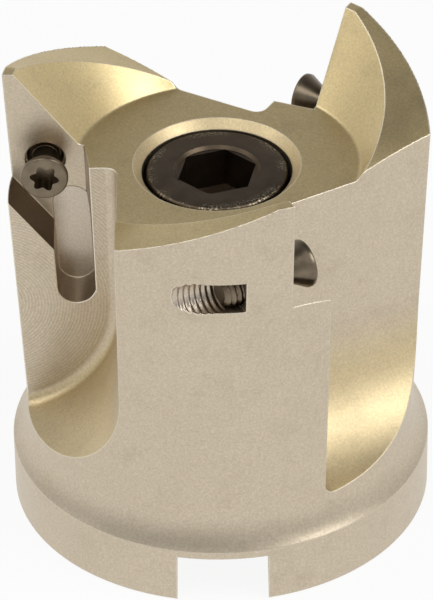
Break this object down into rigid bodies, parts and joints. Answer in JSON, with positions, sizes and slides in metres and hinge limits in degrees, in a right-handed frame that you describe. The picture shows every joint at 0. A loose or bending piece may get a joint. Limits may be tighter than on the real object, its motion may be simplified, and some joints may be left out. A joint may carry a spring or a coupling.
{
  "type": "face mill",
  "caption": "Indexable face mill for a 22 mm arbor, with three insert pockets, insert screws and an arbor screw in its well.",
  "frame": {"origin": "centre of the back face, which seats on the arbor", "axes": "+Z along the cutter's axis, from the back face to the cutting end; insert seat a is on the -X side"},
  "size_m": [0.0486, 0.0486, 0.0533],
  "materials": {
    "nickel_plated_steel": "satin nickel plate over machined steel",
    "insert_screw_steel": "dark temper-coloured steel",
    "black_oxide_steel": "black oxide"
  },
  "bodies": {
    "cutter_body": {"cutter_body": "nickel_plated_steel"},
    "insert_screw_a": {"insert_screw_a": "insert_screw_steel"},
    "insert_screw_b": {"insert_screw_b": "insert_screw_steel"},
    "insert_screw_c": {"insert_screw_c": "insert_screw_steel"},
    "arbor_screw": {"arbor_screw": "black_oxide_steel"}
  },
  "joints": [
    {"name": "insert_screw_a_turn", "type": "hinge", "parent": "cutter_body", "child": "insert_screw_a", "pos_m": [-0.0195, 0, 0.0419], "axis": [0, -1, 0], "continuous": true},
    {"name": "insert_screw_b_turn", "type": "hinge", "parent": "cutter_body", "child": "insert_screw_b", "pos_m": [0.00975, -0.01689, 0.0419], "axis": [0.866, 0.5, 0], "continuous": true},
    {"name": "insert_screw_c_turn", "type": "hinge", "parent": "cutter_body", "child": "insert_screw_c", "pos_m": [0.00975, 0.01689, 0.0419], "axis": [-0.866, 0.5, 0], "continuous": true},
    {"name": "arbor_screw_lift", "type": "slide", "parent": "cutter_body", "child": "arbor_screw", "axis": [0, 0, 1], "range_m": [0, 0.036]}
  ]
}
